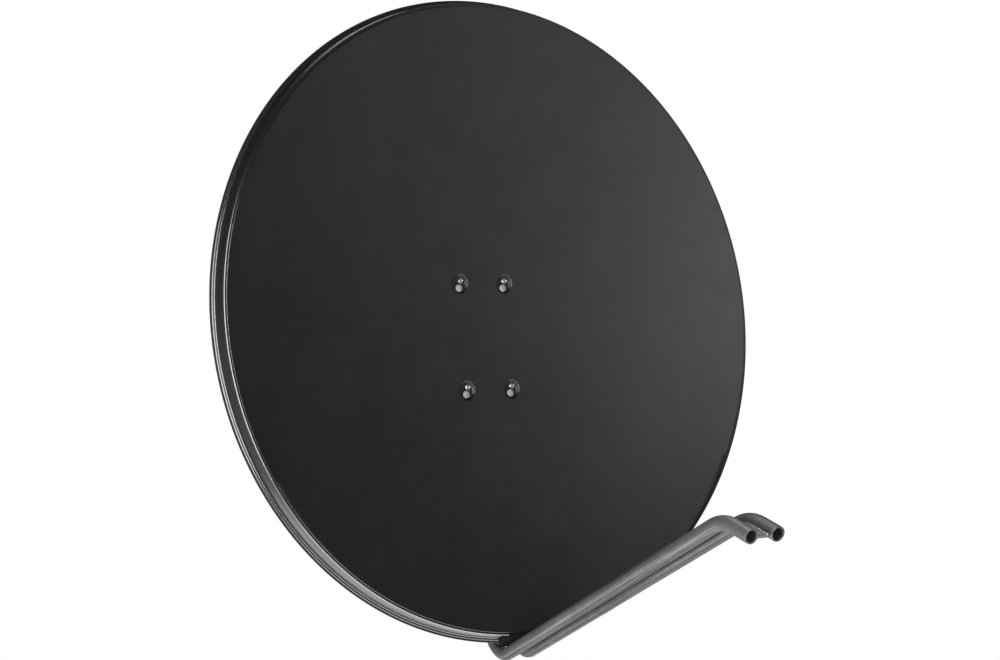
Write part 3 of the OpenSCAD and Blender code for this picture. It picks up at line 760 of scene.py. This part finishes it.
def arm_welds():
    """Beads that hold the tie plate between the tubes, and the arm plate across their backs."""
    shape = Shape()
    end, heading = arm_path()[-1]
    forward = Vector((0, math.cos(heading), math.sin(heading)))
    down = Vector((0, math.cos(OFFSET + math.pi), -math.sin(OFFSET)))
    tip = Vector((0, end[0], end[1]))
    drop = 2.6 * MM
    gap = TUBE_X - math.sqrt(TUBE_R ** 2 - drop ** 2)
    for side in (-1, 1):
        root = tip + Vector((side * (gap - 0.2 * MM), 0, 0)) + down * drop
        weld_bead(shape, root - forward * 5.5 * MM, root - forward * 15 * MM, 2.2 * MM, 11 + side)
        weld_bead(shape, root - forward * 14 * MM, root - forward * 24.5 * MM, 1.9 * MM, 21 + side)
    plate_front = TUBE_Z - TUBE_R
    for tube in (-TUBE_X, TUBE_X):
        for side in (-1, 1):
            for place in (-70 * MM, -20 * MM, 40 * MM):
                x = tube + side * 4.6 * MM
                z = plate_front + 1.0 * MM
                y = DEEP_Y + place
                seed = int(1000 * (y + 1) + 10 * side + tube * 500)
                weld_bead(shape, (x, y, z), (x, y + 30 * MM, z), 1.3 * MM, seed)
    return shape.build("arm_welds", "dish", WELD, "galvanised")


# ---- Fasteners ----

M6_ACROSS, M8_ACROSS, M10_ACROSS = 10 * MM, 13 * MM, 17 * MM       # across the flats of heads and nuts
M6_NUT_H, M8_NUT_H, M10_NUT_H = 5 * MM, 6.5 * MM, 8 * MM
M10_HEAD_H = 6.4 * MM
BORE_SLACK = 0.05 * MM       # a nut's bore over its thread
SINK = 1 * MM                # how far a shank runs into its head, so that they join
M8_DOME_D, M8_DOME_H = 17 * MM, 4.4 * MM
M8_NECK_HALF, M8_NECK_H = 4 * MM, 3 * MM
BEHIND_WEB = 9.6 * MM        # how far the fixing bolts stand out behind the tilt bracket's web


def at(x, y, z, turn=None):
    """A place in the dish frame, optionally turned."""
    return TO_ROW @ Matrix.Translation((x, y, z)) @ (turn or Matrix.Identity(4))


FLIP = Matrix.Rotation(math.pi, 4, "X")
ALONG_X = Matrix.Rotation(math.pi / 2, 4, "Y")
AGAINST_X = Matrix.Rotation(-math.pi / 2, 4, "Y")
ALONG_Y = Matrix.Rotation(-math.pi / 2, 4, "X")


def fixing_bolts():
    """A low domed head in each pocket, its shank and its thread."""
    shape = Shape()
    length = POCKET_Z - (WEB_BACK - BEHIND_WEB)
    for x, y in BOLTS:
        place = at(x, y, POCKET_Z, FLIP)
        shape.add(*dome_head(10.6 * MM, 3.2 * MM, 2.3 * MM), place)
        shape.add(*lathe([(0, -0.5 * MM), (2.9 * MM, -0.5 * MM), (2.9 * MM, 20 * MM), (0, 20 * MM)]), place)
        shape.add(*thread(3 * MM, 19 * MM, length, 1.0 * MM), place)
    return shape.build("fixing_bolts", "dish", DULL, "zinc", ["dish_bolts"])


def blind_rivets():
    """Each has a domed flange round a hollow with the broken mandrel in it, and a bulb at the back."""
    flange = [(0, 0.05 * MM), (2.3 * MM, 0.05 * MM), (2.35 * MM, 1.0 * MM), (2.65 * MM, 1.3 * MM)]
    flange += arc((2.4 * MM, -0.6 * MM), 2.0 * MM, 72, 17, 7)
    flange += [(4.4 * MM, 0), (2.4 * MM, 0), (2.4 * MM, STRIP_BACK - POCKET_Z - 0.2 * MM)]
    flange += arc((1.6 * MM, STRIP_BACK - POCKET_Z - 1.6 * MM), 1.6 * MM, 60, -60, 7)
    flange += [(0, STRIP_BACK - POCKET_Z - 3.0 * MM)]
    mandrel = [(0, 0), (1.3 * MM, 0), (1.3 * MM, 0.7 * MM), (0.9 * MM, 1.0 * MM), (0, 0.95 * MM)]
    shape = Shape()
    for x, y in BOLTS:
        place = at(x + RIVET_SHIFT[0], y + RIVET_SHIFT[1], POCKET_Z)
        shape.add(*lathe(flange), place)
        shape.add(*lathe(mandrel), place)
    return shape.build("blind_rivets", "dish", ZINC, "zinc", ["pocket_rivets"])


def fixing_nuts():
    """The nuts behind the tilt bracket's web."""
    shape = Shape()
    for x, y in BOLTS:
        seat = WEB_BACK - M6_NUT_H - 1.6 * MM      # behind a washer
        shape.add(*hex_nut(M6_ACROSS, M6_NUT_H, 3 * MM + BORE_SLACK), at(x, y, seat))
    return shape.build("fixing_nuts", "dish", ZINC, "zinc", ["dish_nuts"])


def centre_of(node):
    low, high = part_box(node)
    return (low + high) / 2


def pivot_set():
    """Pivot bolt through both pairs of cheeks, and its nut."""
    low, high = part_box("pivot_bolt")
    x0 = low.x + M10_HEAD_H
    middle = centre_of("pivot_bolt")
    place = Matrix.Translation((x0, middle.y, middle.z)) @ ALONG_X
    length = high.x - x0
    radius = 5 * MM
    plain = length - 24 * MM
    bolt = Shape().add(*hex_head(M10_ACROSS, M10_HEAD_H), place)
    bolt.add(*lathe([(0, -SINK), (radius, -SINK), (radius, plain), (0, plain)]), place)
    bolt.add(*thread(radius, plain - SINK, length, 1.5 * MM, 32), place)
    bolt.build("pivot_screw", "mast_mount", ZINC, "zinc", ["pivot_bolt"])
    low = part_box("pivot_nut")[0]
    seat = Matrix.Translation((low.x, middle.y, middle.z)) @ ALONG_X
    Shape().add(*hex_nut(M10_ACROSS, M10_NUT_H, radius + BORE_SLACK), seat).build(
        "pivot_hex_nut", "mast_mount", ZINC, "zinc", ["pivot_nut"])


def m8_head(shape, place):
    """The domed head and square neck of a coach bolt."""
    shape.add(*dome_head(M8_DOME_D, M8_DOME_H), place)
    shape.add(*rounded_block(M8_NECK_HALF, M8_NECK_H, 0.5 * MM), place)


def lock_set():
    """Dome-head lock bolts through the slots, and their nuts."""
    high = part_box("lock_bolts")[1]
    middle = centre_of("lock_bolts")
    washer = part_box("lock_washers")[1].x
    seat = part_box("mast_bracket")[1].x - M8_NECK_H
    bolts, nuts = Shape(), Shape()
    for turn, side in ((ALONG_X, 1), (AGAINST_X, -1)):
        place = Matrix.Translation((side * seat, middle.y, middle.z)) @ turn
        length = high.x - seat
        m8_head(bolts, place)
        bolts.add(*thread(4 * MM, 2.5 * MM, length, 1.25 * MM, 28), place)
        nut = Matrix.Translation((side * (washer + 0.01 * MM), middle.y, middle.z)) @ turn
        nuts.add(*hex_nut(M8_ACROSS, M8_NUT_H, 4 * MM + BORE_SLACK), nut)
    bolts.build("lock_screws", "mast_mount", ZINC, "zinc", ["lock_bolts"])
    nuts.build("lock_hex_nuts", "mast_mount", ZINC, "zinc", ["lock_nuts"])


def clamp_set():
    """Four long dome-head bolts, and the nut on each that draws a jaw in."""
    low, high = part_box("clamp_bolts")
    start = low.y + M8_DOME_H
    length = high.y - start
    reach = high.x - M8_DOME_D / 2
    rise = high.z - M8_DOME_D / 2
    shank, plain = 3.7 * MM, 42 * MM
    bolts = Shape()
    for sx in (-1, 1):
        for sz in (-1, 1):
            place = Matrix.Translation((sx * reach, start, sz * rise)) @ ALONG_Y
            m8_head(bolts, place)
            bolts.add(*lathe([(0, 2.5 * MM), (shank, 2.5 * MM), (shank, plain), (0, plain)]), place)
            bolts.add(*thread(4 * MM, plain - SINK, length, 1.25 * MM, 28), place)
    bolts.build("clamp_screws", "mast_mount", ZINC, "zinc", ["clamp_bolts"])
    for level in ("upper", "lower"):
        for side in ("left", "right"):
            node = f"{level}_nut_{side}"
            middle = centre_of(node)
            place = Matrix.Translation((middle.x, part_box(node)[0].y, middle.z)) @ ALONG_Y
            Shape().add(*hex_nut(M8_ACROSS, M8_NUT_H, 4 * MM + BORE_SLACK), place).build(
                f"{node}_hex", f"{level}_{side}_nut", ZINC, "zinc", [node])


# ---- CAD nodes that stay ----

def soften(node, material, width):
    """Gives a CAD node its material, and breaks its sharp edges."""
    piece = frame["nodes"][node]
    piece.data.materials.clear()
    piece.data.materials.append(material)
    weld = piece.modifiers.new("weld", "WELD")
    weld.merge_threshold = 0.002 * MM
    bevel = piece.modifiers.new("bevel", "BEVEL")
    bevel.width = width
    bevel.segments = 2
    bevel.limit_method = "ANGLE"
    bevel.angle_limit = math.radians(35)
    bevel.harden_normals = True


def carried_nodes():
    for node in ("backing_strips", "arm_plate", "arm_tie_plate", "tilt_bracket", "mast_bracket",
                 "upper_jaw", "lower_jaw"):
        soften(node, PLATE, 0.35 * MM)
    for node in ("spacer_tubes", "dish_washers", "pivot_sleeve", "pivot_washers", "lock_washers",
                 "upper_jaw_washers", "lower_jaw_washers"):
        soften(node, ZINC, 0.2 * MM)
    soften("friction_washers", NYLON, 0.15 * MM)


# ---- Stage ----

CAMERA_OFFSET = Vector((-1.03395, -1.87191, 0.03310))    # from the rim's centre
CAMERA_YAW = math.radians(28.59)
CAMERA_PITCH = math.radians(-1.568)
LENS = 54.82
SENSOR = 36.0

# Brightness of the walls: by height (0 straight down, 1 straight up), and by side (0 dark, 1 bright)
UP = (0, 0, 1)
UP_STOPS = [(0.30, 0.9), (0.50, 0.8), (0.59, 0.36), (0.70, 0.02)]
BRIGHT_SIDE = (-0.4, -0.917, 0)
SIDE_STOPS = [(0.05, 0.15), (0.40, 0.25), (0.70, 0.75), (0.95, 1.0)]
WALL_STRENGTH = 0.3
FLOOR_DROP = 0.9             # from the lowest point of the dish
FLOOR_GLOW = 0.35
PANELS = [
    # name, place from the rim's centre, width and height, radiance
    ("left_strip", (-2.4, -0.78, 0.05), (0.75, 2.8), 12.0),
    ("front_panel", (-0.4, -3.6, 0.7), (1.4, 1.3), 7.0),
    ("rear_panel", (0.5, 2.1, 2.3), (1.6, 1.6), 3.0),
]


def camera():
    data = bpy.data.cameras.new("camera")
    data.lens = LENS
    data.sensor_width = SENSOR
    data.clip_end = 100
    view = bpy.data.objects.new("camera", data)
    look = Vector((math.sin(CAMERA_YAW) * math.cos(CAMERA_PITCH),
                   math.cos(CAMERA_YAW) * math.cos(CAMERA_PITCH), math.sin(CAMERA_PITCH)))
    view.rotation_euler = look.to_track_quat("-Z", "Y").to_euler()
    view.location = RIM_CENTRE + CAMERA_OFFSET
    bpy.context.scene.collection.objects.link(view)
    bpy.context.scene.camera = view


def area_light(name, place, aim, size, radiance, lit=()):
    """A soft rectangular light; with lit, it reaches only the objects in that list."""
    data = bpy.data.lights.new(name, "AREA")
    data.shape = "RECTANGLE"
    data.size, data.size_y = size
    data.energy = radiance * math.pi * size[0] * size[1]
    light = bpy.data.objects.new(name, data)
    light.location = place
    light.rotation_euler = (Vector(aim) - Vector(place)).to_track_quat("-Z", "Y").to_euler()
    light.visible_camera = False
    bpy.context.scene.collection.objects.link(light)
    if lit:
        chosen = bpy.data.collections.new(f"lit_by_{name}")
        for piece in lit:
            chosen.objects.link(piece)
        light.light_linking.receiver_collection = chosen


def hidden_from_camera(tree, seen, unseen):
    """Shows one shader to the camera and another to everything else."""
    path = tree.nodes.new("ShaderNodeLightPath")
    mix = tree.nodes.new("ShaderNodeMixShader")
    tree.links.new(path.outputs["Is Camera Ray"], mix.inputs["Fac"])
    tree.links.new(unseen, mix.inputs[1])
    tree.links.new(seen, mix.inputs[2])
    return mix.outputs[0]


def floor():
    """Plain pale floor that reads as white, and lights the dish softly from below."""
    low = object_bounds()[0].z - FLOOR_DROP
    size = 30
    mesh = bpy.data.meshes.new("floor")
    corners = [(-size, -size, low), (size, -size, low), (size, size, low), (-size, size, low)]
    mesh.from_pydata(corners, [], [(0, 1, 2, 3)])
    plane = bpy.data.objects.new("floor", mesh)
    bpy.context.scene.collection.objects.link(plane)
    plane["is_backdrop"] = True
    n = Nodes("pale_floor")
    here = n.position()
    grain = n.ramp(n.noise(here, 3, 3), [(0.3, 0.80), (0.7, 0.82)])
    n.finish(Base_Color=grain, Roughness=0.9, Emission_Color=grain, Emission_Strength=FLOOR_GLOW)
    white = n.add("ShaderNodeEmission", Strength=1.0)
    output = n.tree.nodes["Material Output"]
    surface = hidden_from_camera(n.tree, white.outputs[0], n.shader.outputs[0])
    n.link(surface, output.inputs["Surface"])
    mesh.materials.append(n.material)


def surround():
    """White to the camera. For the object, a studio with a dark ceiling and one bright side."""
    world = bpy.data.worlds.new("surround")
    bpy.context.scene.world = world
    world.use_nodes = True
    tree = world.node_tree
    white = tree.nodes["Background"]
    white.inputs["Color"].default_value = (1, 1, 1, 1)
    coords = tree.nodes.new("ShaderNodeTexCoord")
    ramps = []
    for direction, stops in ((UP, UP_STOPS), (BRIGHT_SIDE, SIDE_STOPS)):
        dot = tree.nodes.new("ShaderNodeVectorMath")
        dot.operation = "DOT_PRODUCT"
        dot.inputs[1].default_value = direction
        tree.links.new(coords.outputs["Generated"], dot.inputs[0])
        spread = tree.nodes.new("ShaderNodeMapRange")
        spread.inputs["From Min"].default_value = -1
        tree.links.new(dot.outputs["Value"], spread.inputs["Value"])
        ramp = tree.nodes.new("ShaderNodeValToRGB")
        tree.links.new(spread.outputs["Result"], ramp.inputs["Fac"])
        while len(ramp.color_ramp.elements) < len(stops):
            ramp.color_ramp.elements.new(0.5)
        for element, (place, grey) in zip(ramp.color_ramp.elements, stops):
            element.position = place
            element.color = (grey, grey, grey, 1)
        ramps.append(ramp.outputs["Color"])
    both = tree.nodes.new("ShaderNodeMix")
    both.data_type = "RGBA"
    both.blend_type = "MULTIPLY"
    both.inputs[0].default_value = 1.0
    tree.links.new(ramps[0], both.inputs[6])
    tree.links.new(ramps[1], both.inputs[7])
    walls = tree.nodes.new("ShaderNodeBackground")
    walls.inputs["Strength"].default_value = WALL_STRENGTH
    tree.links.new(both.outputs[2], walls.inputs["Color"])
    surface = hidden_from_camera(tree, white.outputs[0], walls.outputs[0])
    tree.links.new(surface, tree.nodes["World Output"].inputs["Surface"])


def panels(shell, arm):
    """Three panels for everything, one from below for the reflector alone, and two for the feed arm alone."""
    for name, offset, size, radiance in PANELS:
        area_light(name, RIM_CENTRE + Vector(offset), RIM_CENTRE, size, radiance)
    below = RIM_CENTRE + Vector((0, 0, -1.3))
    area_light("rim_glow", below, RIM_CENTRE, (2.6, 2.6), 2.9, [shell])
    above = RIM_CENTRE + Vector((0.3, -0.6, 1.4))
    area_light("arm_top_light", above, above + Vector((-0.2, 0, -1)), (1.6, 1.6), 1.8, arm)
    elbow = Vector(MOUNTS["feed_tube_left"]["pos_m"])
    area_light("arm_front_light", elbow + Vector((-0.75, -0.95, -0.75)), elbow, (0.4, 0.4), 9.0, arm)
    bpy.context.scene.view_settings.view_transform = "Standard"


dish_shell = reflector()
notch_apron()
left_tube = feed_tube(-TUBE_X, "feed_arm_left", "feed_tube_left")
right_tube = feed_tube(TUBE_X, "feed_arm_right", "feed_tube_right")
welds = arm_welds()
fixing_bolts()
blind_rivets()
fixing_nuts()
pivot_set()
lock_set()
clamp_set()
carried_nodes()
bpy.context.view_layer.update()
floor()
surround()
panels(dish_shell, [left_tube, right_tube, welds, frame["nodes"]["arm_tie_plate"]])
camera()
